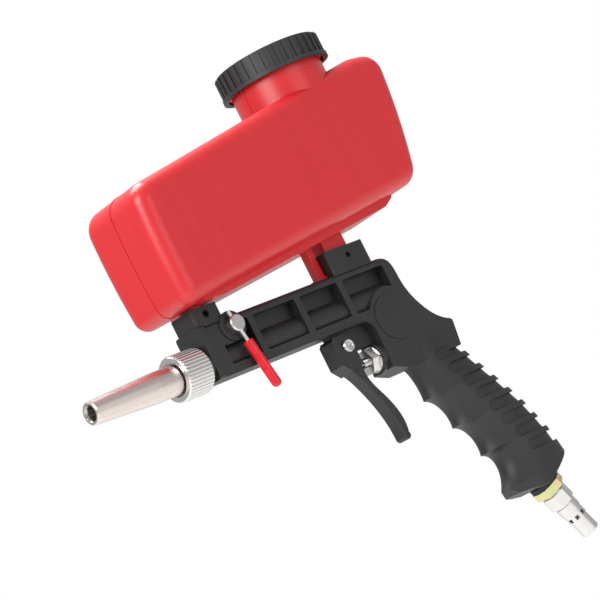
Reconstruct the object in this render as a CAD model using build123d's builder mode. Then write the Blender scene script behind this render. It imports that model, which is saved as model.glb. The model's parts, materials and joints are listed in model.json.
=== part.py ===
"""Hand-held gravity-feed blasting gun: a red abrasive hopper on a black nylon gun body.

Frame: the origin is the centre of the nozzle muzzle, +X runs to the rear along the barrel,
+Z is up towards the hopper, and Y = 0 is the plane of symmetry. All sizes are in millimetres.
"""

import os
from math import cos, radians, sin, tan

from build123d import *

os.makedirs("parts", exist_ok=True)

# Fits
RUN_FIT = 0.06  # radial clearance of a turning or sliding fit
SEAT_FIT = 0.05  # radial clearance of a fitted piece that does not move
THREAD_GAP = 0.35  # radial gap left between mating threads

# Barrel, the beam that carries it, and the brackets on top of the beam
BARREL_R = 7.6
BARREL_BORE_R = 6.0
BEAM_FRONT = 77.5
BEAM_HALF = 8.75
BEAM_TOP = 19.7
BEAM_BOTTOM = -9.3
WEB_HALF = 2.2
POCKET_TOP = 15.5
POCKET_BOTTOM = -4.5
FRONT_POCKET_X = 88.5
RIB_X = (112.2, 146.8, 179.2)  # centres of the three upright ribs
RIB_HALF = 2.1
POCKET_END = 213.0
HEAD_FRONT = 188.0
HEAD_DISC = (204.3, -13.0)  # centre of the shallow round pad on each side of the head
HEAD_DISC_R = 13.0
FRONT_BRACKET = (77.4, 96.0, 28.9)  # from x, to x, top z
REAR_BRACKET = (178.6, 208.0, 32.7)
SLOT_HALF = 5.9

# Nozzle group
NOZZLE_TIP_R = 6.1
NOZZLE_R = 7.9
NOZZLE_BORE_R = 4.6
LINER_BORE_R = 3.6
NOZZLE_END = 64.5
FLANGE_R = 9.9
FLANGE_LENGTH = 4.0
NUT_FRONT = 56.2
NUT_REAR = 73.4
NUT_R = 12.3
NUT_FLUTES = 40
SPIGOT_FRONT = 66.0

# Feed valve
FEED_X, FEED_Z = 98.8, 13.9
FEED_BOSS_R = 8.1
FEED_BOSS_Y = 9.6
DRUM_R = 6.0
DRUM_HALF = 8.0
STEM_R = 4.7
STEM_FACE = 14.6
PORT_R = 3.6
LEVER_LEAN = 11.0  # degrees from straight down, towards the rear
LEVER_Y = 12.3
LEVER_PIN_R = 1.2
LEVER_SLEEVE = (10.5, 38.6)  # start and tip, measured from the valve's axis
LEVER_SLEEVE_R = 2.65

# Hopper
HOPPER_TOP_HALF, HOPPER_TOP_Z = 28.2, 135.0  # the sides lean in from here
HOPPER_BOTTOM_HALF, HOPPER_BOTTOM_Z = 25.6, 25.0  # to here
HOPPER_WALL = 2.0
SPOUT_X = 86.6
SPOUT_R = 6.8
SPOUT_BORE_R = 4.6
NECK_X = 212.9
NECK_R = 26.6
NECK_BORE_R = 24.2
NECK_TOP = 141.6
THREAD_R = 27.9

# Cap
CAP_R = 30.1
CAP_RIM_R = 31.5
CAP_BOTTOM = 131.8
CAP_TOP = 146.1
CAP_INNER_TOP = 143.1
CAP_INNER_R = THREAD_R + 0.7
CAP_RIBS = 36

# Air valve and trigger
VALVE_Z = -29.5
VALVE_BORE_R = 6.0
VALVE_BORE_END = 224.0
STEM_ROD_R = 1.6
POPPET_R = 4.0
PIVOT_X, PIVOT_Z = 166.5, -18.0
CHEEK_HALF = 5.6
LUG_HALF = 3.0
BLADE_HALF = 4.2

# Grip, raked to the rear, and the air inlet in its butt
RAKE = 25.0
INLET_X, INLET_Z = 257.5, -128.0
INLET_BORE_R = 5.0
# crests of the front between the finger hollows, and each hollow's depth
CREST_LINE = (
    (198.0, -20.0),
    (199.2, -38.0),
    (206.4, -60.5),
    (217.0, -80.0),
    (226.8, -100.0),
    (228.0, -122.3),
    (231.0, -142.0),
)
HOLLOW_DEPTHS = (0, 3.5, 5.2, 5.6, 7.0, 0)
# share of the way down a hollow, and share of its full depth there
HOLLOW_SHAPE = ((0, 0), (0.13, 0.78), (0.4, 1), (0.68, 0.74), (0.87, 0.36), (1, 0))
# height, then the rear's x, and the half width of the oval
REAR_LINE = ((-20, 236), (-38, 243), (-60.5, 255.9), (-80, 267.4), (-100, 275.9), (-122.3, 281.2), (-142, 284))
HALF_LINE = ((-20, 8.0), (-38, 9.8), (-60.5, 12.6), (-80, 13.3), (-100, 13.4), (-122.3, 13.2), (-142, 13))
GROOVE_COUNT = 8
GROOVE_PITCH = 9.25
GROOVE_TOP_Z = -41.6
GROOVE_FRONT_X = 217.0
GROOVE_STEP_X = 4.3
GROOVE_HEIGHT = 6.2
GROOVE_DEPTH = 1.3
BUTT_LIFT = 2.2  # the butt face stands this far above the inlet nut's washer face

inlet_plane = Plane(
    origin=(INLET_X, 0, INLET_Z),
    x_dir=(0, 1, 0),
    z_dir=(sin(radians(RAKE)), 0, -cos(radians(RAKE))),
)
# The abrasive port slants from the spout through the feed valve's axis down into the barrel.
port_dir = Vector(FEED_X - SPOUT_X, 0, FEED_Z - FRONT_BRACKET[2]).normalized()
port_plane = Plane(origin=(FEED_X, 0, FEED_Z), x_dir=(0, 1, 0), z_dir=port_dir)


def at_x(x):
    """Plane across the barrel's axis at x."""
    return Plane.YZ.offset(x)


def valve_at(x):
    """Plane across the air valve's axis at x."""
    return Plane(origin=(x, 0, VALVE_Z), x_dir=(0, 1, 0), z_dir=(1, 0, 0))


def along(line, height):
    """Value at a height, read off a line of (height, value) points."""
    for (upper, start), (lower, end) in zip(line, line[1:]):
        if height >= lower:
            return start + (end - start) * (upper - height) / (upper - lower)


def grip_spans(side_inset, rear_inset):
    """The grip's oval body, one piece from crest to crest, set in at the sides and the rear."""
    spans = []
    for top, bottom, depth in zip(CREST_LINE, CREST_LINE[1:], HOLLOW_DEPTHS):
        with BuildPart() as span:
            for share, fullness in HOLLOW_SHAPE:
                height = top[1] + share * (bottom[1] - top[1])
                front = top[0] + share * (bottom[0] - top[0]) + fullness * depth
                rear = along(REAR_LINE, height) - rear_inset
                with BuildSketch(Plane.XY.offset(height)):
                    with Locations(((front + rear) / 2, 0)):
                        Ellipse((rear - front) / 2, along(HALF_LINE, height) - side_inset)
            loft()
        spans.append(span.part)
    return spans


def hopper_floor(x):
    """Height of the hopper's sloping bottom at x."""
    return 29.3 + (x - 69.6) * tan(radians(6.6))


# ---------------------------------------------------------------- gun body

with BuildPart() as body_frame:
    # beam and head: one side outline, with the head's edges rounded
    with BuildSketch(Plane.XZ):
        with BuildLine():
            Polyline(
                (212, BEAM_TOP),
                (BEAM_FRONT, BEAM_TOP),
                (BEAM_FRONT, BEAM_BOTTOM),
                (HEAD_FRONT - 7, BEAM_BOTTOM),
            )
            ThreePointArc(
                (HEAD_FRONT - 7, BEAM_BOTTOM),
                (HEAD_FRONT - 2.05, BEAM_BOTTOM - 2.05),
                (HEAD_FRONT, BEAM_BOTTOM - 7),
            )
            Polyline(
                (HEAD_FRONT, BEAM_BOTTOM - 7),
                (HEAD_FRONT - 0.5, -37.5),
                (197, -41),
                (240, -41),
                (243, -25),
            )
            Spline(
                (243, -25),
                (228.5, -13),
                (222.3, 3),
                (221.2, 14),
                (212, BEAM_TOP),
                tangents=[(-1, 0.35), (-1, 0)],
            )
        make_face()
    extrude(amount=BEAM_HALF, both=True)
    rear_edges = [
        e
        for e in body_frame.edges()
        if e.center().X > 213 and e.center().Z > -24 and abs(e.center().Y) > BEAM_HALF - 0.1
    ]
    fillet(rear_edges, radius=2.8)

    # side pockets between the ribs, on both sides of the web
    pocket_depth = BEAM_HALF - WEB_HALF
    for side_plane in (Plane.XZ.offset(WEB_HALF), Plane.XZ.offset(-BEAM_HALF)):
        with BuildSketch(side_plane):
            with BuildLine():
                Polyline(
                    (FRONT_POCKET_X, POCKET_BOTTOM),
                    (RIB_X[0] - RIB_HALF, POCKET_BOTTOM),
                    (RIB_X[0] - RIB_HALF, POCKET_TOP),
                    (FEED_X + 4, POCKET_TOP),
                    (FEED_X, FEED_Z - FEED_BOSS_R),
                    (FRONT_POCKET_X, FEED_Z - FEED_BOSS_R),
                    close=True,
                )
            make_face()
            for left, right in zip(RIB_X, RIB_X[1:] + (POCKET_END + RIB_HALF,)):
                with Locations(((left + right) / 2, (POCKET_TOP + POCKET_BOTTOM) / 2)):
                    RectangleRounded(right - left - 2 * RIB_HALF, POCKET_TOP - POCKET_BOTTOM, 1.2)
        extrude(amount=pocket_depth, mode=Mode.SUBTRACT)

    # barrel tube showing in the lower half of the pockets, and the head's round shoulder
    with BuildSketch(at_x(BEAM_FRONT)):
        Circle(BARREL_R)
    extrude(amount=POCKET_END - BEAM_FRONT)
    with BuildSketch(Plane.XZ):
        with Locations((206, -13)):
            Circle(17.2)
    extrude(amount=BEAM_HALF, both=True)
    with BuildSketch(Plane.XZ):
        with Locations(HEAD_DISC):
            Circle(HEAD_DISC_R)
    extrude(amount=BEAM_HALF + 0.4, both=True)

    # front plate, threaded spigot, and the feed valve's boss
    with BuildSketch(at_x(BEAM_FRONT - 1.4)):
        with Locations((0, (BEAM_TOP + BEAM_BOTTOM) / 2)):
            RectangleRounded(2 * BEAM_HALF + 2.2, BEAM_TOP - BEAM_BOTTOM, 1.6)
    extrude(amount=4.4)
    with BuildSketch(at_x(SPIGOT_FRONT)):
        Circle(FLANGE_R)
    extrude(amount=BEAM_FRONT - SPIGOT_FRONT)
    with BuildSketch(Plane.XZ):
        with Locations((FEED_X, FEED_Z)):
            Circle(FEED_BOSS_R)
    extrude(amount=FEED_BOSS_Y, both=True)

    # the two brackets that carry the hopper
    for start, end, top in (FRONT_BRACKET, REAR_BRACKET):
        with BuildSketch(Plane.XY.offset(BEAM_TOP - 1)):
            with Locations(((start + end) / 2, 0)):
                RectangleRounded(end - start, 2 * BEAM_HALF, 1.0)
        extrude(amount=top - BEAM_TOP + 1)
    with BuildSketch(Plane.XY.offset(22)):
        with Locations((192, 0)):
            Rectangle(20, 2 * SLOT_HALF)
    extrude(amount=20, mode=Mode.SUBTRACT)

    # lug for the trigger's pin, under the beam
    with BuildSketch(Plane.XZ):
        with Locations((PIVOT_X, PIVOT_Z)):
            Circle(6)
        with Locations((PIVOT_X, (PIVOT_Z + BEAM_BOTTOM) / 2 + 0.5)):
            Rectangle(12, BEAM_BOTTOM - PIVOT_Z + 1)
        # web from the lug back to the head
        with Locations((PIVOT_X + 13, -15)):
            Rectangle(22, 13)
    extrude(amount=LUG_HALF, both=True)

    # air valve's housing, under the head
    with BuildSketch(valve_at(184.6)):
        Circle(8.6)
    extrude(amount=35)

# slots for the thumb-side grooves; their floors follow the grip's own shape
with BuildPart() as groove_cutter:
    with BuildSketch(Plane.XZ):
        for index in range(GROOVE_COUNT):
            with Locations((GROOVE_FRONT_X + GROOVE_STEP_X * index + 20, GROOVE_TOP_Z - GROOVE_PITCH * index)):
                SlotOverall(40, GROOVE_HEIGHT)
    extrude(amount=20, both=True)
    for span in grip_spans(GROOVE_DEPTH, 2 * GROOVE_DEPTH):
        add(span, mode=Mode.SUBTRACT)

with BuildPart() as grip:
    for span in grip_spans(0, 0):
        add(span)
    add(groove_cutter.part, mode=Mode.SUBTRACT)
    # butt: a face square to the air inlet, and a shorter one rising to the front
    with BuildSketch(inlet_plane.offset(-BUTT_LIFT)):
        Rectangle(60, 120)
    extrude(amount=40, mode=Mode.SUBTRACT)
    with BuildSketch(Plane.XZ):
        with BuildLine():
            Polyline((222, -115), (232, -126.9), (254, -130), (254, -160), (215, -160), close=True)
        make_face()
    extrude(amount=30, both=True, mode=Mode.SUBTRACT)

with BuildPart() as gun_body:
    add(body_frame.part)
    add(grip.part)
    # barrel bore, and the air passage behind it
    with BuildSketch(at_x(SPIGOT_FRONT - 1)):
        Circle(BARREL_BORE_R)
    extrude(amount=124 - SPIGOT_FRONT + 1, mode=Mode.SUBTRACT)
    with BuildSketch(at_x(120)):
        Circle(3 + SEAT_FIT)
    extrude(amount=204 - 120, mode=Mode.SUBTRACT)
    # spout socket, slanted port, and the feed valve's seat
    with BuildSketch(Plane.XY.offset(21.2)):
        with Locations((SPOUT_X, 0)):
            Circle(SPOUT_R + SEAT_FIT)
    extrude(amount=20, mode=Mode.SUBTRACT)
    with BuildSketch(port_plane.offset(-17)):
        Circle(PORT_R)
    extrude(amount=17 + 16, mode=Mode.SUBTRACT)
    with BuildSketch(Plane.XZ.offset(-7)):
        with Locations((FEED_X, FEED_Z)):
            Circle(DRUM_R + RUN_FIT)
    extrude(amount=20, mode=Mode.SUBTRACT)
    with BuildSketch(Plane.XZ.offset(-12)):
        with Locations((FEED_X, FEED_Z)):
            Circle(3 + RUN_FIT)
    extrude(amount=10, mode=Mode.SUBTRACT)
    # set screw holes in the front bracket, and the cross hole in the rear one
    with BuildSketch(Plane.XZ):
        with Locations((SPOUT_X, 24.6)):
            Circle(2 + SEAT_FIT)
        with Locations((194.2, 27.2)):
            Circle(1.5 + SEAT_FIT)
    extrude(amount=12, both=True, mode=Mode.SUBTRACT)
    # trigger pin hole
    with BuildSketch(Plane.XZ):
        with Locations((PIVOT_X, PIVOT_Z)):
            Circle(2 + SEAT_FIT)
    extrude(amount=LUG_HALF + 1, both=True, mode=Mode.SUBTRACT)
    # valve chamber, the riser from it to the barrel, and the inlet passage up the grip
    with BuildSketch(valve_at(180)):
        Circle(VALVE_BORE_R)
    extrude(amount=VALVE_BORE_END - 180, mode=Mode.SUBTRACT)
    with BuildSketch(Plane.XY.offset(VALVE_Z)):
        with Locations((201, 0)):
            Circle(2)
    extrude(amount=-VALVE_Z, mode=Mode.SUBTRACT)
    with BuildSketch(inlet_plane.offset(-106)):
        Circle(INLET_BORE_R)
    extrude(amount=120, mode=Mode.SUBTRACT)
    with BuildSketch(inlet_plane):
        Circle(11)
    extrude(amount=12, mode=Mode.SUBTRACT)
gun_body.part.label = "gun_body"
export_step(gun_body.part, "parts/gun_body.step")

# ---------------------------------------------------------------- hopper

FRONT_FACE = 66.4
FRONT_TOP = (65.8, 96.0)
REAR_TOP = (267.5, 125.5)
HOPPER_CORNERS = (
    (FRONT_FACE, hopper_floor(FRONT_FACE)),
    (254, hopper_floor(254)),
    REAR_TOP,
    (247, 126.5),
    FRONT_TOP,
)
CORNER_RADII = (7.5, 12, 11, 24, 12)

with BuildSketch(Plane.XZ) as hopper_side:
    with BuildLine():
        Polyline(HOPPER_CORNERS[:2])
        ThreePointArc(HOPPER_CORNERS[1], (263, 87), REAR_TOP)
        Polyline(HOPPER_CORNERS[2:])
        ThreePointArc(FRONT_TOP, (64.6, 62), HOPPER_CORNERS[0])
    make_face()
    for corner, corner_r in zip(HOPPER_CORNERS, CORNER_RADII):
        nearest = hopper_side.vertices().sort_by_distance((corner[0], corner[1], 0))[0]
        fillet(nearest, radius=corner_r)

with BuildSketch(Plane.XZ) as cavity_side:
    add(hopper_side.sketch_local)
    offset(amount=-HOPPER_WALL)

with BuildSketch(Plane.XZ) as bead_side:
    add(hopper_side.sketch_local)
    offset(amount=0.3)

with BuildSketch(Plane.YZ.offset(50)) as hopper_end:
    with BuildLine():
        Polyline(
            (-HOPPER_TOP_HALF, HOPPER_TOP_Z),
            (HOPPER_TOP_HALF, HOPPER_TOP_Z),
            (HOPPER_BOTTOM_HALF, HOPPER_BOTTOM_Z),
            (-HOPPER_BOTTOM_HALF, HOPPER_BOTTOM_Z),
            close=True,
        )
    make_face()

with BuildSketch(Plane.YZ.offset(50)) as cavity_end:
    add(hopper_end.sketch_local)
    offset(amount=-HOPPER_WALL)

with BuildPart() as hopper_cavity:
    extrude(cavity_side.sketch, amount=40, both=True)
    extrude(cavity_end.sketch, amount=240, mode=Mode.INTERSECT)
    fillet([e for e in hopper_cavity.edges() if abs(e.center().Y) > 18], radius=4.8)

with BuildPart() as hopper:
    extrude(hopper_side.sketch, amount=40, both=True)
    extrude(hopper_end.sketch, amount=240, mode=Mode.INTERSECT)
    fillet([e for e in hopper.edges() if abs(e.center().Y) > 18], radius=8.5)
    # parting line of the mould, a fine raised bead all round
    extrude(bead_side.sketch, amount=0.3, both=True)

    # raised platform along the underside
    with BuildSketch(Plane.XZ):
        with BuildLine():
            Polyline(
                (83, hopper_floor(83) + 1),
                (84.5, hopper_floor(84.5) - 0.9),
                (98, hopper_floor(98) - 3.0),
                (229, hopper_floor(229) - 4.4),
                (236, hopper_floor(236) - 1.5),
                (237, hopper_floor(237) + 1),
                close=True,
            )
        make_face()
    extrude(amount=16, both=True)

    # spout into the front bracket
    with BuildSketch(Plane.XY.offset(21.2)):
        with Locations((SPOUT_X, 0)):
            Circle(SPOUT_R)
    extrude(amount=hopper_floor(SPOUT_X) - 21.2 + 1)

    # rear leg: a plate down into the rear bracket, and a column in front of it
    with BuildSketch(Plane.XY.offset(22)):
        with Locations((191.2, 0)):
            Rectangle(16.6, 2 * SLOT_HALF - 0.5)
    extrude(amount=hopper_floor(191) - 22)
    with BuildSketch(Plane.XY.offset(BEAM_TOP)):
        with Locations((175.4, 0)):
            Rectangle(4.6, 5.2)
    extrude(amount=hopper_floor(175) - BEAM_TOP)
    with BuildSketch(Plane.XY.offset(BEAM_TOP)):
        with Locations((175.2, 0)):
            Rectangle(6.2, 7.4)
    extrude(amount=1.6)

    # filler neck with its threaded mouth
    with BuildSketch(Plane.XY.offset(105)):
        with Locations((NECK_X, 0)):
            Circle(NECK_R)
            Rectangle(2 * NECK_R + 0.6, 0.6)
    extrude(amount=NECK_TOP - 105)
    with BuildSketch(Plane.XY.offset(CAP_BOTTOM + 1.5)):
        with Locations((NECK_X, 0)):
            Circle(THREAD_R)
    extrude(amount=NECK_TOP - CAP_BOTTOM - 2.2)

    # cavity, mouth and spout bore
    add(hopper_cavity.part, mode=Mode.SUBTRACT)
    with BuildSketch(Plane.XY.offset(100)):
        with Locations((NECK_X, 0)):
            Circle(NECK_BORE_R)
    extrude(amount=50, mode=Mode.SUBTRACT)
    with BuildSketch(Plane.XY.offset(20)):
        with Locations((SPOUT_X, 0)):
            Circle(SPOUT_BORE_R)
    extrude(amount=20, mode=Mode.SUBTRACT)
    # cross hole for the rear screw
    with BuildSketch(Plane.XZ):
        with Locations((194.2, 27.2)):
            Circle(1.5 + SEAT_FIT)
    extrude(amount=12, both=True, mode=Mode.SUBTRACT)
hopper.part.label = "hopper"
export_step(hopper.part, "parts/hopper.step")

# ---------------------------------------------------------------- hopper fixings

for side_name, side_sign in (("left", 1), ("right", -1)):
    with BuildPart() as set_screw:
        with BuildSketch(Plane.XZ.offset(side_sign * (SPOUT_R + SEAT_FIT + 0.05))):
            with Locations((SPOUT_X, 24.6)):
                Circle(2)
        extrude(amount=side_sign * 1.7)
        with BuildSketch(Plane.XZ.offset(side_sign * (SPOUT_R + 0.9))):
            with Locations((SPOUT_X, 24.6)):
                RegularPolygon(1.1, 6)
        extrude(amount=side_sign * 2, mode=Mode.SUBTRACT)
    set_screw.part.label = "set_screw_" + side_name
    export_step(set_screw.part, "parts/set_screw_" + side_name + ".step")

with BuildPart() as leg_pin:
    with BuildSketch(Plane.XZ.offset(-BEAM_HALF)):
        with Locations((194.2, 27.2)):
            Circle(1.5)
    extrude(amount=2 * BEAM_HALF - 0.6)
leg_pin.part.label = "leg_pin"
export_step(leg_pin.part, "parts/leg_pin.step")

# ---------------------------------------------------------------- cap

with BuildPart() as hopper_cap:
    with BuildSketch(Plane.XY.offset(CAP_BOTTOM)):
        with Locations((NECK_X, 0)):
            Circle(CAP_RIM_R)
    extrude(amount=2.3)
    with BuildSketch(Plane.XY.offset(CAP_BOTTOM)):
        with Locations((NECK_X, 0)):
            Circle(CAP_R)
            with PolarLocations(CAP_R, CAP_RIBS):
                Rectangle(1.6, 2.2)
    extrude(amount=CAP_TOP - CAP_BOTTOM - 0.8)
    with BuildSketch(Plane.XY.offset(CAP_TOP - 0.8)):
        with Locations((NECK_X, 0)):
            Circle(CAP_R - 0.6)
    extrude(amount=0.8)
    with BuildSketch(Plane.XY.offset(CAP_BOTTOM - 1)):
        with Locations((NECK_X, 0)):
            Circle(CAP_INNER_R)
    extrude(amount=CAP_INNER_TOP - CAP_BOTTOM + 1, mode=Mode.SUBTRACT)
    # shallow dish in the cap's top
    with BuildSketch(Plane.XY.offset(CAP_TOP - 0.9)):
        with Locations((NECK_X, 0)):
            Circle(CAP_R - 4)
    extrude(amount=2, mode=Mode.SUBTRACT)
hopper_cap.part.label = "hopper_cap"
export_step(hopper_cap.part, "parts/hopper_cap.step")

with BuildPart() as cap_liner:
    with BuildSketch(Plane.XY.offset(NECK_TOP)):
        with Locations((NECK_X, 0)):
            Circle(CAP_INNER_R - 0.4)
    extrude(amount=CAP_INNER_TOP - NECK_TOP)
cap_liner.part.label = "cap_liner"
export_step(cap_liner.part, "parts/cap_liner.step")

# ---------------------------------------------------------------- nozzle group

with BuildPart() as nozzle:
    with BuildSketch(Plane.XZ):
        with BuildLine():
            Polyline(
                (0, NOZZLE_BORE_R + SEAT_FIT),
                (0, NOZZLE_TIP_R - 0.6),
                (0.6, NOZZLE_TIP_R),
                (42, NOZZLE_R),
                (NOZZLE_END - FLANGE_LENGTH, NOZZLE_R),
                (NOZZLE_END - FLANGE_LENGTH, FLANGE_R),
                (NOZZLE_END, FLANGE_R),
                (NOZZLE_END, NOZZLE_BORE_R + SEAT_FIT),
                close=True,
            )
        make_face()
    revolve(axis=Axis.X)
nozzle.part.label = "nozzle"
export_step(nozzle.part, "parts/nozzle.step")

with BuildPart() as nozzle_liner:
    with BuildSketch(at_x(0)):
        Circle(NOZZLE_BORE_R)
        Circle(LINER_BORE_R, mode=Mode.SUBTRACT)
    extrude(amount=NOZZLE_END)
nozzle_liner.part.label = "nozzle_liner"
export_step(nozzle_liner.part, "parts/nozzle_liner.step")

with BuildPart() as nozzle_nut:
    with BuildSketch(at_x(NUT_FRONT)):
        Circle(NUT_R)
    extrude(amount=NUT_REAR - NUT_FRONT)
    chamfer(nozzle_nut.edges().filter_by(GeomType.CIRCLE), length=0.9)
    with BuildSketch(at_x(NUT_FRONT - 1)):
        with PolarLocations(NUT_R + 0.25, NUT_FLUTES):
            Circle(0.72)
    extrude(amount=NUT_REAR - NUT_FRONT + 2, mode=Mode.SUBTRACT)
    with BuildSketch(at_x(NUT_FRONT - 1)):
        Circle(9.0)
    extrude(amount=20, mode=Mode.SUBTRACT)
    with BuildSketch(at_x(NOZZLE_END - FLANGE_LENGTH)):
        Circle(FLANGE_R + THREAD_GAP)
    extrude(amount=20, mode=Mode.SUBTRACT)
nozzle_nut.part.label = "nozzle_nut"
export_step(nozzle_nut.part, "parts/nozzle_nut.step")

with BuildPart() as nozzle_seal:
    with BuildSketch(at_x(NOZZLE_END)):
        Circle(FLANGE_R - 0.8)
        Circle(5.0, mode=Mode.SUBTRACT)
    extrude(amount=SPIGOT_FRONT - NOZZLE_END)
nozzle_seal.part.label = "nozzle_seal"
export_step(nozzle_seal.part, "parts/nozzle_seal.step")

# ---------------------------------------------------------------- mixing chamber and air jet

JET_TIP = 108.0
CHAMBER_END = 122.0

with BuildPart() as mix_chamber:
    with BuildSketch(at_x(SPIGOT_FRONT)):
        Circle(BARREL_BORE_R - SEAT_FIT)
        Circle(4.0, mode=Mode.SUBTRACT)
    extrude(amount=CHAMBER_END - SPIGOT_FRONT)
    with BuildSketch(port_plane):
        Circle(PORT_R)
    extrude(amount=17, mode=Mode.SUBTRACT)
mix_chamber.part.label = "mix_chamber"
export_step(mix_chamber.part, "parts/mix_chamber.step")

with BuildPart() as air_jet:
    with BuildSketch(Plane.XZ):
        with BuildLine():
            Polyline(
                (JET_TIP, 1.2),
                (JET_TIP, 1.9),
                (114, 3.9),
                (117, 3.9),
                (117, 3.2),
                (119, 3.2),
                (119, 3.9),
                (CHAMBER_END, 3.9),
                (CHAMBER_END, 5.9),
                (124, 5.9),
                (124, 1.2),
                close=True,
            )
        make_face()
    revolve(axis=Axis.X)
air_jet.part.label = "air_jet"
export_step(air_jet.part, "parts/air_jet.step")

with BuildPart() as jet_seal:
    with BuildSketch(at_x(117.1)):
        Circle(3.95)
        Circle(3.25, mode=Mode.SUBTRACT)
    extrude(amount=1.8)
jet_seal.part.label = "jet_seal"
export_step(jet_seal.part, "parts/jet_seal.step")

with BuildPart() as air_tube:
    with BuildSketch(at_x(124)):
        Circle(3)
        Circle(2, mode=Mode.SUBTRACT)
    extrude(amount=198 - 124)
air_tube.part.label = "air_tube"
export_step(air_tube.part, "parts/air_tube.step")

# ---------------------------------------------------------------- feed valve

with BuildPart() as feed_shaft:
    with BuildSketch(Plane.XZ.offset(-7 + RUN_FIT)):
        with Locations((FEED_X, FEED_Z)):
            Circle(DRUM_R)
    extrude(amount=DRUM_HALF + 7 - RUN_FIT)
    with BuildSketch(Plane.XZ.offset(DRUM_HALF)):
        with Locations((FEED_X, FEED_Z)):
            Circle(STEM_R)
    extrude(amount=STEM_FACE - DRUM_HALF)
    chamfer(feed_shaft.faces().sort_by(Axis.Y)[0].edges(), length=0.7)
    with BuildSketch(Plane.XZ.offset(-12)):
        with Locations((FEED_X, FEED_Z)):
            Circle(3)
    extrude(amount=6)
    # cross port, shut at rest: it lies square to the port in the body
    with BuildSketch(Plane(origin=(FEED_X, 0, FEED_Z), x_dir=(0, 1, 0), z_dir=(-port_dir.Z, 0, port_dir.X))):
        Circle(PORT_R)
    extrude(amount=8, both=True, mode=Mode.SUBTRACT)
    # hole for the lever
    lever_dir = Vector(sin(radians(LEVER_LEAN)), 0, -cos(radians(LEVER_LEAN)))
    lever_plane = Plane(origin=(FEED_X, -LEVER_Y, FEED_Z), x_dir=(0, 1, 0), z_dir=lever_dir)
    with BuildSketch(lever_plane):
        Circle(LEVER_PIN_R + SEAT_FIT)
    extrude(amount=8, both=True, mode=Mode.SUBTRACT)
feed_shaft.part.label = "feed_shaft"
export_step(feed_shaft.part, "parts/feed_shaft.step")

with BuildPart() as lever_pin:
    with BuildSketch(lever_plane.offset(-7.6)):
        Circle(LEVER_PIN_R)
    extrude(amount=7.6 + LEVER_SLEEVE[1] - 2)
lever_pin.part.label = "lever_pin"
export_step(lever_pin.part, "parts/lever_pin.step")

with BuildPart() as lever_sleeve:
    with BuildSketch(lever_plane.offset(LEVER_SLEEVE[0])):
        Circle(LEVER_SLEEVE_R)
    extrude(amount=LEVER_SLEEVE[1] - LEVER_SLEEVE[0])
    fillet(lever_sleeve.edges().filter_by(GeomType.CIRCLE).sort_by(Axis.Z)[0], radius=2.2)
    fillet(lever_sleeve.edges().filter_by(GeomType.CIRCLE).sort_by(Axis.Z)[-1], radius=0.9)
    with BuildSketch(lever_plane):
        Circle(LEVER_PIN_R + SEAT_FIT)
    extrude(amount=LEVER_SLEEVE[1] - 2, mode=Mode.SUBTRACT)
lever_sleeve.part.label = "lever_sleeve"
export_step(lever_sleeve.part, "parts/lever_sleeve.step")

with BuildPart() as feed_ring:
    with BuildSketch(Plane.XZ.offset(DRUM_HALF)):
        with Locations((FEED_X, FEED_Z)):
            Circle(DRUM_R)
            Circle(STEM_R + RUN_FIT, mode=Mode.SUBTRACT)
    extrude(amount=1.3)
feed_ring.part.label = "feed_ring"
export_step(feed_ring.part, "parts/feed_ring.step")

with BuildPart() as feed_clip:
    with BuildSketch(Plane.XZ.offset(-11.2)):
        with Locations((FEED_X, FEED_Z)):
            Circle(5.4)
            Circle(3 + SEAT_FIT, mode=Mode.SUBTRACT)
            with Locations((5, 0)):
                Rectangle(6, 2.4, mode=Mode.SUBTRACT)
    extrude(amount=1.2)
feed_clip.part.label = "feed_clip"
export_step(feed_clip.part, "parts/feed_clip.step")

# ---------------------------------------------------------------- air valve

with BuildPart() as valve_nut:
    with BuildSketch(valve_at(177.8)):
        RegularPolygon(6.4, 6, major_radius=False)
    extrude(amount=6.0)
    with BuildSketch(valve_at(175)):
        Circle(2.9)
    extrude(amount=3)
    with BuildSketch(valve_at(183.8)):
        Circle(7.2)
    extrude(amount=0.8)
    with BuildSketch(valve_at(184.6)):
        Circle(VALVE_BORE_R - SEAT_FIT)
    extrude(amount=13.4)
    with BuildSketch(valve_at(174)):
        Circle(STEM_ROD_R + RUN_FIT)
    extrude(amount=33, mode=Mode.SUBTRACT)
    # recess for the stem's seal
    with BuildSketch(valve_at(195)):
        Circle(3.0)
    extrude(amount=4, mode=Mode.SUBTRACT)
valve_nut.part.label = "valve_nut"
export_step(valve_nut.part, "parts/valve_nut.step")

with BuildPart() as stem_seal:
    with BuildSketch(valve_at(195)):
        Circle(3.0 - SEAT_FIT)
        Circle(STEM_ROD_R + RUN_FIT, mode=Mode.SUBTRACT)
    extrude(amount=2.6)
stem_seal.part.label = "stem_seal"
export_step(stem_seal.part, "parts/stem_seal.step")

with BuildPart() as valve_seat:
    with BuildSketch(valve_at(198)):
        Circle(VALVE_BORE_R - SEAT_FIT)
        Circle(3.0, mode=Mode.SUBTRACT)
    extrude(amount=6)
    with BuildSketch(Plane.XY.offset(VALVE_Z)):
        with Locations((201, 0)):
            Circle(1.6)
    extrude(amount=8, mode=Mode.SUBTRACT)
valve_seat.part.label = "valve_seat"
export_step(valve_seat.part, "parts/valve_seat.step")

with BuildPart() as valve_stem:
    with BuildSketch(valve_at(172.1)):
        Circle(STEM_ROD_R)
    extrude(amount=215 - 172.1)
    fillet(valve_stem.edges().sort_by(Axis.X)[0], radius=0.9)
    with BuildSketch(valve_at(204)):
        Circle(POPPET_R)
    extrude(amount=2.5)
valve_stem.part.label = "valve_stem"
export_step(valve_stem.part, "parts/valve_stem.step")

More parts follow.
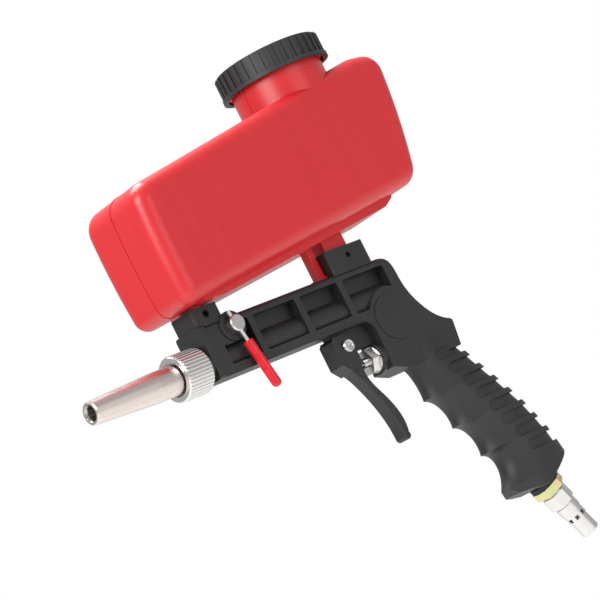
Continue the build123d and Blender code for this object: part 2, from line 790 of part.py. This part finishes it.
SPRING_START, SPRING_END, SPRING_R, SPRING_WIRE_R = 206.5, VALVE_BORE_END, 2.9, 0.4
with BuildPart() as valve_spring:
    with BuildLine() as spring_path:
        Helix(
            pitch=2.4,
            height=SPRING_END - SPRING_START - 2 * SPRING_WIRE_R,
            radius=SPRING_R,
            center=(SPRING_START + SPRING_WIRE_R, 0, VALVE_Z),
            direction=(1, 0, 0),
        )
    with BuildSketch(Plane(origin=spring_path.line @ 0, z_dir=spring_path.line % 0)):
        Circle(SPRING_WIRE_R)
    sweep(is_frenet=True)
valve_spring.part.label = "valve_spring"
export_step(valve_spring.part, "parts/valve_spring.step")

# ---------------------------------------------------------------- trigger

with BuildPart() as trigger:
    # blade with its finger curve
    with BuildSketch(Plane.XZ):
        with BuildLine():
            Polyline((171.8, -23), (158.2, -23), (158.4, -26.5))
            Spline((158.4, -26.5), (163.8, -32.2), (169.2, -42), (173.4, -53), (175.8, -63), (176.6, -73))
            ThreePointArc((176.6, -73), (178.9, -75.6), (181, -72))
            Spline((181, -72), (181.9, -66), (180.4, -57), (176.6, -48), (173.0, -40.5), (171.8, -33))
            Line((171.8, -33), (171.8, -23))
        make_face()
    extrude(amount=BLADE_HALF, both=True)
    blade_edges = [e for e in trigger.edges() if e.length > 20 and abs(e.center().Y) > BLADE_HALF - 0.1]
    fillet(blade_edges, radius=0.8)
    # head: two cheeks with a round top
    with BuildSketch(Plane.XZ):
        with BuildLine():
            Polyline(
                (171.8, -30),
                (171.8, PIVOT_Z),
                (165.3, -11),
                (160, -11),
                (158.2, -12.8),
                (158.2, -26.4),
                (163, -31.4),
                close=True,
            )
        make_face()
        with Locations((PIVOT_X - 1.2, PIVOT_Z)):
            Circle(7.0)
    extrude(amount=CHEEK_HALF, both=True)
    # gap between the cheeks for the body's lug
    with BuildSketch(Plane.XZ):
        with Locations((170.9, -15)):
            Rectangle(21.4, 21)
    extrude(amount=LUG_HALF + 0.25, both=True, mode=Mode.SUBTRACT)
    with BuildSketch(Plane.XZ):
        with Locations((PIVOT_X, PIVOT_Z)):
            Circle(2 + RUN_FIT)
    extrude(amount=10, both=True, mode=Mode.SUBTRACT)
trigger.part.label = "trigger"
export_step(trigger.part, "parts/trigger.step")

with BuildPart() as trigger_pin:
    with BuildSketch(Plane.XZ.offset(-7.6)):
        with Locations((PIVOT_X, PIVOT_Z)):
            Circle(2)
    extrude(amount=7.6 + 6.0)
    with BuildSketch(Plane.XZ.offset(5.9)):
        with Locations((PIVOT_X, PIVOT_Z)):
            Circle(3.6)
    extrude(amount=1.9)
    fillet(trigger_pin.faces().sort_by(Axis.Y)[0].edges(), radius=0.7)
    with BuildSketch(Plane.XZ.offset(6.8)):
        with Locations((PIVOT_X, PIVOT_Z)):
            Circle(1.2)
    extrude(amount=2, mode=Mode.SUBTRACT)
trigger_pin.part.label = "trigger_pin"
export_step(trigger_pin.part, "parts/trigger_pin.step")

with BuildPart() as trigger_clip:
    with BuildSketch(Plane.XZ.offset(-6.9)):
        with Locations((PIVOT_X, PIVOT_Z)):
            Circle(3.8)
            Circle(2 + SEAT_FIT, mode=Mode.SUBTRACT)
            with Locations((3, 0)):
                Rectangle(4, 1.8, mode=Mode.SUBTRACT)
    extrude(amount=0.9)
trigger_clip.part.label = "trigger_clip"
export_step(trigger_clip.part, "parts/trigger_clip.step")

# ---------------------------------------------------------------- air inlet

with BuildPart() as inlet_tube:
    with BuildSketch(inlet_plane.offset(-90)):
        Circle(INLET_BORE_R - SEAT_FIT)
        Circle(3.2, mode=Mode.SUBTRACT)
    extrude(amount=90)
inlet_tube.part.label = "inlet_tube"
export_step(inlet_tube.part, "parts/inlet_tube.step")

with BuildPart() as inlet_seal:
    with BuildSketch(inlet_plane.offset(-BUTT_LIFT)):
        Circle(9.2)
        Circle(6.2, mode=Mode.SUBTRACT)
    extrude(amount=BUTT_LIFT + 0.8)
inlet_seal.part.label = "inlet_seal"
export_step(inlet_seal.part, "parts/inlet_seal.step")

with BuildPart() as inlet_nut:
    with BuildSketch(inlet_plane.offset(0.8)):
        RegularPolygon(8.5, 6, major_radius=False)
        Circle(6.05, mode=Mode.SUBTRACT)
    extrude(amount=4.8)
inlet_nut.part.label = "inlet_nut"
export_step(inlet_nut.part, "parts/inlet_nut.step")

PLUG_LENGTH = 38.4
PLUG_BORE_R = 3.4
# start along the axis, end, radius: collar, neck, tail
PLUG_STEPS = ((16.6, 22.0, 6.35), (22.0, 27.5, 5.85), (27.5, PLUG_LENGTH, 5.4))
with BuildPart() as air_plug:
    with BuildSketch(inlet_plane):
        Circle(6)
    extrude(amount=8)
    with BuildSketch(inlet_plane.offset(7.4)):
        RegularPolygon(7, 6, major_radius=False)
        Circle(7.7, mode=Mode.INTERSECT)
    extrude(amount=8.2)
    with BuildSketch(inlet_plane.offset(15)):
        Circle(5.7)
    extrude(amount=2)
    for start, end, radius in PLUG_STEPS:
        with BuildSketch(inlet_plane.offset(start)):
            Circle(radius)
        extrude(amount=end - start)
    tail_rim = [e for e in air_plug.edges().filter_by(GeomType.CIRCLE) if e.center().Z < -162]
    chamfer(tail_rim, length=0.6)
    with BuildSketch(inlet_plane.offset(-1)):
        Circle(PLUG_BORE_R)
    extrude(amount=PLUG_LENGTH + 2, mode=Mode.SUBTRACT)
    # ring of square ports that the socket's valve opens
    with BuildSketch(inlet_plane.offset(24.4)):
        with PolarLocations(5, 8):
            Rectangle(4, 2.2)
    extrude(amount=2.4, mode=Mode.SUBTRACT)
air_plug.part.label = "air_plug"
export_step(air_plug.part, "parts/air_plug.step")
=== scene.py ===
import json
from math import cos, radians, sin

import bmesh
import bpy
from mathutils import Matrix, Vector


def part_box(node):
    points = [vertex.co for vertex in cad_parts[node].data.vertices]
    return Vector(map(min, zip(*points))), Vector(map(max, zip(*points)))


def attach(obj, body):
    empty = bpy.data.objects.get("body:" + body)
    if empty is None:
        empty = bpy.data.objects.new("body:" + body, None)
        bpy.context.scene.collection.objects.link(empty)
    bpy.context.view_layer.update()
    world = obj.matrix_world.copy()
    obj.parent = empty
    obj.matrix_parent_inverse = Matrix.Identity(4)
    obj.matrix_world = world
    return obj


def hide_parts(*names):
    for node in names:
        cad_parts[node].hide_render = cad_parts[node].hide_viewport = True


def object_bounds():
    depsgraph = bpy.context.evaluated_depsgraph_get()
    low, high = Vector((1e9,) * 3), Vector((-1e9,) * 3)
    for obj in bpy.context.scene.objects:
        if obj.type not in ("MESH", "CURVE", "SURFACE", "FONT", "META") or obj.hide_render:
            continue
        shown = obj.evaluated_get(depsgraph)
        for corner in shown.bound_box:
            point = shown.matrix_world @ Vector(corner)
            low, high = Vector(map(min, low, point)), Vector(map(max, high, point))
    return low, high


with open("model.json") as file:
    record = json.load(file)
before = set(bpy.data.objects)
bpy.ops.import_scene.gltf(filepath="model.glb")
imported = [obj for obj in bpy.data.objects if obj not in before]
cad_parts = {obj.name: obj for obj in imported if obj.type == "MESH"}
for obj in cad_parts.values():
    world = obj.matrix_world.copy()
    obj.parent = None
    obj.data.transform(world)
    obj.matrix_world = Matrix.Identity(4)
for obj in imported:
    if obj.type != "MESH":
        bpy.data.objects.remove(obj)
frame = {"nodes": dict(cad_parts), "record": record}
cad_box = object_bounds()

MM = 0.001
NODES = frame["nodes"]


# ---------------------------------------------------------------- small helpers


def linear(hex_colour):
    """An sRGB hex colour as linear red, green, blue and alpha."""
    channels = [int(hex_colour[i : i + 2], 16) / 255 for i in (0, 2, 4)]
    return tuple(c / 12.92 if c <= 0.04045 else ((c + 0.055) / 1.055) ** 2.4 for c in channels) + (1.0,)


def add_node(tree, kind, inputs=None, **settings):
    """Adds one node; an input is a plain value or the socket that feeds it."""
    made = tree.nodes.new(kind)
    for name, value in settings.items():
        setattr(made, name, value)
    for name, value in (inputs or {}).items():
        if isinstance(value, bpy.types.NodeSocket):
            tree.links.new(value, made.inputs[name])
        else:
            made.inputs[name].default_value = value
    return made


def new_material(name, **surface):
    """An empty material with one Principled shader; returns the material, its tree, the shader and Object coordinates."""
    material = bpy.data.materials.new(name)
    material.use_nodes = True
    tree = material.node_tree
    shader = tree.nodes["Principled BSDF"]
    for socket, value in surface.items():
        shader.inputs[socket.replace("_", " ")].default_value = value
    coords = add_node(tree, "ShaderNodeTexCoord").outputs["Object"]
    return material, tree, shader, coords


def ramp(tree, factor, stops):
    """A colour ramp from (position, hex colour) stops."""
    made = add_node(tree, "ShaderNodeValToRGB", {"Fac": factor})
    elements = made.color_ramp.elements
    while len(elements) < len(stops):
        elements.new(0.5)
    for element, (position, colour) in zip(elements, stops):
        element.position = position
        element.color = linear(colour)
    return made.outputs["Color"]


def spread(tree, factor, low, high):
    """Turns a 0 to 1 factor into the range low to high."""
    return add_node(tree, "ShaderNodeMapRange", {"Value": factor, "To Min": low, "To Max": high}).outputs["Result"]


# ---------------------------------------------------------------- materials


def moulded_nylon(name, dark, light):
    """Black glass-filled nylon from a spark-eroded mould: an even fine grain, matte, with faint paler flow marks."""
    material, tree, shader, coords = new_material(name, IOR=1.53)
    flow = add_node(tree, "ShaderNodeTexNoise", {"Vector": coords, "Scale": 1 / (22 * MM), "Detail": 3.0})
    grain = add_node(tree, "ShaderNodeTexNoise", {"Vector": coords, "Scale": 1 / (0.55 * MM), "Detail": 2.0})
    tree.links.new(ramp(tree, flow.outputs["Fac"], ((0.3, dark), (0.75, light))), shader.inputs["Base Color"])
    tree.links.new(spread(tree, grain.outputs["Fac"], 0.42, 0.62), shader.inputs["Roughness"])
    bump = add_node(
        tree, "ShaderNodeBump", {"Height": grain.outputs["Fac"], "Strength": 0.28, "Distance": 0.12 * MM}
    )
    tree.links.new(bump.outputs["Normal"], shader.inputs["Normal"])
    return material


def blow_moulded_polyethylene():
    """Red blow-moulded polyethylene: waxy satin skin, slow hollows a few centimetres wide, and fine draw lines
    running down the walls."""
    material, tree, shader, coords = new_material("blow_moulded_polyethylene", IOR=1.51, Subsurface_Weight=0.06)
    shader.inputs["Subsurface Radius"].default_value = (0.004, 0.0008, 0.0006)
    shader.inputs["Coat Weight"].default_value = 0.2
    shader.inputs["Coat Roughness"].default_value = 0.3
    hollows = add_node(tree, "ShaderNodeTexNoise", {"Vector": coords, "Scale": 1 / (48 * MM), "Detail": 1.0})
    stretched = add_node(tree, "ShaderNodeMapping", {"Vector": coords, "Scale": (1.0, 1.0, 0.06)})
    draw_lines = add_node(
        tree,
        "ShaderNodeTexNoise",
        {"Vector": stretched.outputs["Vector"], "Scale": 1 / (3.2 * MM), "Detail": 3.0, "Roughness": 0.6},
    )
    skin = add_node(tree, "ShaderNodeTexNoise", {"Vector": coords, "Scale": 1 / (0.8 * MM), "Detail": 2.0})
    tint = ramp(tree, draw_lines.outputs["Fac"], ((0.25, "CB1F26"), (0.8, "D22329")))
    tree.links.new(tint, shader.inputs["Base Color"])
    tree.links.new(spread(tree, skin.outputs["Fac"], 0.28, 0.42), shader.inputs["Roughness"])
    large = add_node(tree, "ShaderNodeBump", {"Height": hollows.outputs["Fac"], "Strength": 0.6, "Distance": 1.2 * MM})
    middle = add_node(
        tree,
        "ShaderNodeBump",
        {"Height": draw_lines.outputs["Fac"], "Strength": 0.12, "Distance": 0.12 * MM, "Normal": large.outputs["Normal"]},
    )
    small = add_node(
        tree,
        "ShaderNodeBump",
        {"Height": skin.outputs["Fac"], "Strength": 0.12, "Distance": 0.06 * MM, "Normal": middle.outputs["Normal"]},
    )
    tree.links.new(small.outputs["Normal"], shader.inputs["Normal"])
    return material


def machined_metal(name, base, rough_low, rough_high, mark_pitch, mark_axis, mark_strength):
    """A turned or plated metal: fine tool marks around the piece's own axis, and a slightly uneven polish."""
    material, tree, shader, coords = new_material(name, Metallic=1.0)
    squeeze = {"X": (1.0, 0.02, 0.02), "Z": (0.02, 0.02, 1.0), "Y": (0.02, 1.0, 0.02)}[mark_axis]
    along = add_node(tree, "ShaderNodeMapping", {"Vector": coords, "Scale": squeeze})
    marks = add_node(
        tree, "ShaderNodeTexNoise", {"Vector": along.outputs["Vector"], "Scale": 1 / (mark_pitch * MM), "Detail": 2.0}
    )
    cloud = add_node(tree, "ShaderNodeTexNoise", {"Vector": coords, "Scale": 1 / (6 * MM), "Detail": 3.0})
    shader.inputs["Base Color"].default_value = linear(base)
    tree.links.new(spread(tree, cloud.outputs["Fac"], rough_low, rough_high), shader.inputs["Roughness"])
    bump = add_node(
        tree,
        "ShaderNodeBump",
        {"Height": marks.outputs["Fac"], "Strength": mark_strength, "Distance": 0.05 * MM},
    )
    tree.links.new(bump.outputs["Normal"], shader.inputs["Normal"])
    return material


def cast_metal(name, base, rough_low, rough_high):
    """A metal tumbled before plating: a fine orange-peel pitting, about a third of a millimetre, under an even shine."""
    material, tree, shader, coords = new_material(name, Metallic=1.0)
    shader.inputs["Base Color"].default_value = linear(base)
    pits = add_node(tree, "ShaderNodeTexNoise", {"Vector": coords, "Scale": 1 / (0.5 * MM), "Detail": 3.0})
    cloud = add_node(tree, "ShaderNodeTexNoise", {"Vector": coords, "Scale": 1 / (5 * MM), "Detail": 3.0})
    tree.links.new(spread(tree, cloud.outputs["Fac"], rough_low, rough_high), shader.inputs["Roughness"])
    bump = add_node(tree, "ShaderNodeBump", {"Height": pits.outputs["Fac"], "Strength": 0.42, "Distance": 0.09 * MM})
    tree.links.new(bump.outputs["Normal"], shader.inputs["Normal"])
    return material


def yellow_zinc_plate():
    """Zinc plate with a yellow chromate: a thin film that drifts from straw to pale green over a few millimetres."""
    material, tree, shader, coords = new_material("yellow_zinc_plate", Metallic=0.75)
    drift = add_node(tree, "ShaderNodeTexNoise", {"Vector": coords, "Scale": 1 / (7 * MM), "Detail": 2.0})
    film = ramp(tree, drift.outputs["Fac"], ((0.36, "C9D693"), (0.5, "D9D49A"), (0.62, "E2C79B")))
    tree.links.new(film, shader.inputs["Base Color"])
    tree.links.new(spread(tree, drift.outputs["Fac"], 0.28, 0.4), shader.inputs["Roughness"])
    return material


def dipped_vinyl():
    """Red dipped vinyl: a thick glossy skin with slight sags round the rod."""
    material, tree, shader, coords = new_material("dipped_vinyl", IOR=1.5, Roughness=0.16)
    sag = add_node(tree, "ShaderNodeTexNoise", {"Vector": coords, "Scale": 1 / (5 * MM), "Detail": 1.0})
    tree.links.new(ramp(tree, sag.outputs["Fac"], ((0.3, "C4101F"), (0.7, "D91A2B"))), shader.inputs["Base Color"])
    bump = add_node(tree, "ShaderNodeBump", {"Height": sag.outputs["Fac"], "Strength": 0.4, "Distance": 0.3 * MM})
    tree.links.new(bump.outputs["Normal"], shader.inputs["Normal"])
    return material


def moulded_rubber():
    """Black nitrile rubber: matte, with a dusty mottle a few tenths of a millimetre wide."""
    material, tree, shader, coords = new_material("moulded_rubber", IOR=1.52)
    mottle = add_node(tree, "ShaderNodeTexNoise", {"Vector": coords, "Scale": 1 / (0.4 * MM), "Detail": 2.0})
    tree.links.new(ramp(tree, mottle.outputs["Fac"], ((0.3, "1B1B1B"), (0.8, "2C2C2C"))), shader.inputs["Base Color"])
    tree.links.new(spread(tree, mottle.outputs["Fac"], 0.6, 0.8), shader.inputs["Roughness"])
    return material


def foam_liner():
    """White expanded polyethylene foam: matte, with cells about a third of a millimetre across."""
    material, tree, shader, coords = new_material("foam_liner", IOR=1.5, Roughness=0.8)
    cells = add_node(tree, "ShaderNodeTexVoronoi", {"Vector": coords, "Scale": 1 / (0.35 * MM)})
    tree.links.new(ramp(tree, cells.outputs["Distance"], ((0.1, "C9C8C2"), (0.7, "E9E8E3"))), shader.inputs["Base Color"])
    bump = add_node(tree, "ShaderNodeBump", {"Height": cells.outputs["Distance"], "Strength": 0.3, "Distance": 0.1 * MM})
    tree.links.new(bump.outputs["Normal"], shader.inputs["Normal"])
    return material


FINISHES = {
    "body_nylon": moulded_nylon("moulded_nylon", "1C1C1D", "252526"),
    "trigger_nylon": moulded_nylon("trigger_nylon", "202021", "2A2A2B"),
    "cap_plastic": moulded_nylon("cap_polypropylene", "242424", "2E2E2E"),
    "hopper_red": blow_moulded_polyethylene(),
    "sleeve_red": dipped_vinyl(),
    "seal_rubber": moulded_rubber(),
    "seal_foam": foam_liner(),
    "yellow_zinc": yellow_zinc_plate(),
    "nozzle_alloy": cast_metal("tumbled_aluminium", "D8CDC8", 0.22, 0.36),
    "plated_steel": machined_metal("bright_nickel_plate", "DCDAD8", 0.2, 0.3, 0.35, "X", 0.12),
    "chrome": cast_metal("tumbled_steel", "D6D2D0", 0.2, 0.4),
    "liner_steel": machined_metal("hardened_steel", "B5B1AD", 0.22, 0.34, 0.4, "X", 0.15),
    "steel": machined_metal("machined_steel", "B3B2B0", 0.25, 0.38, 0.4, "X", 0.2),
    "black_steel": machined_metal("black_oxide_steel", "1C1C1D", 0.35, 0.5, 0.4, "Y", 0.1),
    "brass": machined_metal("machined_brass", "C9A456", 0.22, 0.35, 0.4, "X", 0.2),
}

for part in frame["record"]["subparts"]:
    mesh = NODES[part["node"]].data
    mesh.materials.clear()
    mesh.materials.append(FINISHES[part["material_slot"]])


# ---------------------------------------------------------------- detail pieces


def finished(name, shape, body, slot_name):
    """Turns a bmesh into a smooth-shaded piece that rides on a body and wears a slot's finish."""
    bmesh.ops.recalc_face_normals(shape, faces=shape.faces)
    for face in shape.faces:
        face.smooth = True
    for edge in shape.edges:
        edge.smooth = edge.calc_face_angle(0.0) < radians(30)
    mesh = bpy.data.meshes.new(name)
    shape.to_mesh(mesh)
    shape.free()
    mesh.materials.append(FINISHES[slot_name])
    piece = bpy.data.objects.new(name, mesh)
    bpy.context.scene.collection.objects.link(piece)
    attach(piece, body)
    return piece


def turned(name, base, axis, profile, body, slot_name, steps=96):
    """A turned ring: its profile runs round a closed loop of (distance along the axis, radius) in mm."""
    across = axis.orthogonal().normalized()
    shape = bmesh.new()
    corners = [shape.verts.new(base + (axis * along + across * radius) * MM) for along, radius in profile]
    sides = [shape.edges.new(pair) for pair in zip(corners, corners[1:] + corners[:1])]
    bmesh.ops.spin(
        shape,
        geom=corners + sides,
        cent=base,
        axis=axis,
        dvec=(0, 0, 0),
        angle=radians(360),
        steps=steps,
        space=Matrix.Identity(4),
        use_merge=True,
        use_normal_flip=False,
        use_duplicate=False,
    )
    return finished(name, shape, body, slot_name)


# The nozzle's steel lining, with its mouth countersunk; radii in mm.
LINER_OUTER, LINER_BORE = 4.6, 3.6
liner_low, liner_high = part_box("nozzle_liner")
LINER_LENGTH = (liner_high[0] - liner_low[0]) / MM
liner = turned(
    "liner_tube",
    Vector((liner_low[0], 0, 0)),
    Vector((1, 0, 0)),
    (
        (0, LINER_OUTER),
        (0, 4.5),
        (0.1, 4.4),
        (1.3, 3.7),
        (1.6, LINER_BORE),
        (LINER_LENGTH, LINER_BORE),
        (LINER_LENGTH, LINER_OUTER),
    ),
    "nozzle",
    "liner_steel",
)
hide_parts("nozzle_liner")

# The last ridges of the air plug's thread, showing between the inlet nut and the hexagon.
PLUG_MOUNT_DEPTH = 32.65  # mm from the butt of the grip to the plug's mount
plug_mount = next(mount for mount in frame["record"]["mounts"] if mount["name"] == "air_plug")
PLUG_AXIS = Vector(plug_mount["axis"]).normalized()
BUTT = Vector(plug_mount["pos_m"]) - PLUG_MOUNT_DEPTH * MM * PLUG_AXIS
turned(
    "plug_thread",
    BUTT,
    PLUG_AXIS,
    (
        (5.62, 5.5),
        (5.62, 6.1),
        (5.8, 6.1),
        (6.1, 5.7),
        (6.25, 5.7),
        (6.55, 6.1),
        (6.7, 6.1),
        (7.0, 5.7),
        (7.35, 5.7),
        (7.35, 5.5),
    ),
    "gun",
    "plated_steel",
)

# The rolled rims of the trigger pin's two heads.
pin_low, pin_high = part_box("trigger_pin")
for side, face_y, outward in (("left", pin_low[1], -1), ("right", pin_high[1], 1)):
    turned(
        f"pin_rim_{side}",
        Vector(((pin_low[0] + pin_high[0]) / 2, face_y, (pin_low[2] + pin_high[2]) / 2)),
        Vector((0, outward, 0)),
        ((-0.2, 2.1), (0.2, 2.2), (0.45, 2.5), (0.5, 2.8), (0.4, 3.15), (0.1, 3.4), (-0.2, 3.45)),
        "gun",
        "plated_steel",
        steps=48,
    )


# ---------------------------------------------------------------- studio


def studio_world():
    """White to the eye; reflections and fill see a softer grey room."""
    world = bpy.data.worlds.new("studio")
    world.use_nodes = True
    tree = world.node_tree
    room = add_node(tree, "ShaderNodeBackground", {"Color": linear("FFFFFF"), "Strength": 0.5})
    backdrop = add_node(tree, "ShaderNodeBackground", {"Color": linear("FFFFFF"), "Strength": 1.0})
    seen = add_node(tree, "ShaderNodeLightPath").outputs["Is Camera Ray"]
    mix = add_node(tree, "ShaderNodeMixShader", {"Fac": seen})
    tree.links.new(room.outputs["Background"], mix.inputs[1])
    tree.links.new(backdrop.outputs["Background"], mix.inputs[2])
    tree.links.new(mix.outputs["Shader"], tree.nodes["World Output"].inputs["Surface"])
    bpy.context.scene.world = world


def soft_light(name, position, target, size, watts):
    """A square area light at position, aimed at target."""
    light = bpy.data.lights.new(name, "AREA")
    light.size = size
    light.energy = watts
    lamp = bpy.data.objects.new(name, light)
    lamp.location = position
    lamp.rotation_euler = (Vector(target) - Vector(position)).to_track_quat("-Z", "Y").to_euler()
    bpy.context.scene.collection.objects.link(lamp)


def studio_floor(height):
    """A pale floor well below the held gun."""
    shape = bmesh.new()
    bmesh.ops.create_grid(shape, x_segments=1, y_segments=1, size=1.6)
    bmesh.ops.translate(shape, verts=shape.verts, vec=(0.15, 0, height))
    mesh = bpy.data.meshes.new("floor")
    shape.to_mesh(mesh)
    shape.free()
    floor = bpy.data.objects.new("floor", mesh)
    bpy.context.scene.collection.objects.link(floor)
    material, tree, shader, coords = new_material("pale_floor", Roughness=0.7)
    shader.inputs["Base Color"].default_value = linear("F2F2F0")
    mesh.materials.append(material)


# The camera looks at the barrel's line from ahead, from the left and from a little below, rolled to the left.
AIM = Vector((0.1565, 0.0, 0.0148))
DISTANCE = 1.3605
YAW, PITCH, ROLL = radians(42.3), radians(5.76), radians(26.48)
LENS = 155.2


def studio_camera():
    forward = Vector((sin(YAW) * cos(PITCH), cos(YAW) * cos(PITCH), sin(PITCH)))
    level_right = Vector((cos(YAW), -sin(YAW), 0))
    level_up = level_right.cross(forward)
    right = cos(ROLL) * level_right - sin(ROLL) * level_up
    up = sin(ROLL) * level_right + cos(ROLL) * level_up
    turn = Matrix((right, up, -forward)).transposed().to_4x4()
    data = bpy.data.cameras.new("camera")
    data.lens = LENS
    camera = bpy.data.objects.new("camera", data)
    camera.matrix_world = Matrix.Translation(AIM - DISTANCE * forward) @ turn
    bpy.context.scene.collection.objects.link(camera)
    bpy.context.scene.camera = camera


FLOOR_DROP = 0.25  # the gun is held this far above the floor
studio_world()
studio_floor(cad_box[0][2] - FLOOR_DROP)
soft_light("key", (-1.3, -0.5, 0.8), AIM, 0.9, 20)
soft_light("fill", (0.3, -1.4, 0.1), AIM, 0.9, 3)
soft_light("top", (0.2, 0.3, 1.2), AIM, 0.8, 20)
studio_camera()
bpy.context.scene.view_settings.view_transform = "Standard"
